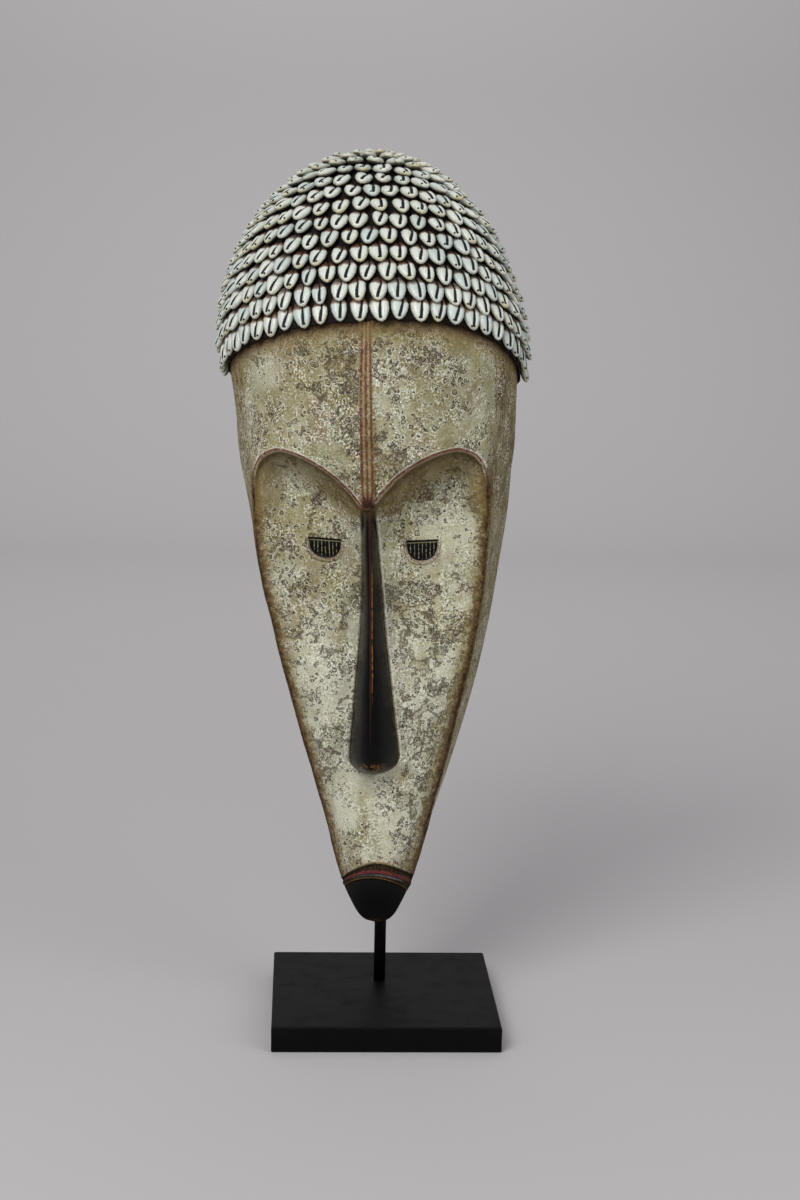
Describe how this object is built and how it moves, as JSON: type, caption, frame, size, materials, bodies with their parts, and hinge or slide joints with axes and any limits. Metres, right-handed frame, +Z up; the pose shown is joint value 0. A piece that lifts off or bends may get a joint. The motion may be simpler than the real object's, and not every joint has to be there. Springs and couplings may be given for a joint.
{
  "type": "carved face mask on a rod stand",
  "caption": "Long carved and painted wooden face mask with a domed cap of sewn cowrie shells, held upright by a black rod on a flat square base.",
  "frame": {"origin": "centre of the underside of the square base", "axes": "+Z up, the face looks along -Y, +X to the viewer's right"},
  "size_m": [0.2536, 0.18, 0.6968],
  "materials": {
    "painted_wood": "chalky cream paint over carved wood, pitted, stained and worn brown at the edges; nose, mouth and eyes black",
    "cap_cloth": "coarse dark brown plain weave",
    "cowrie_shell": "naturally glossy ivory shell with rust-brown stains and a toothed dark slit",
    "black_paint": "satin black paint"
  },
  "bodies": {
    "root": {"carved_mask": "painted_wood", "cap_cloth": "cap_cloth", "cowrie_row_01": "cowrie_shell", "cowrie_row_02": "cowrie_shell", "cowrie_row_03": "cowrie_shell", "cowrie_row_04": "cowrie_shell", "cowrie_row_05": "cowrie_shell", "cowrie_row_06": "cowrie_shell", "cowrie_row_07": "cowrie_shell", "cowrie_row_08": "cowrie_shell", "cowrie_row_09": "cowrie_shell", "cowrie_row_10": "cowrie_shell", "cowrie_row_11": "cowrie_shell", "cowrie_row_12": "cowrie_shell", "cowrie_row_13": "cowrie_shell", "cowrie_row_14": "cowrie_shell", "stand_base": "black_paint", "stand_rod": "black_paint"}
  },
  "joints": []
}
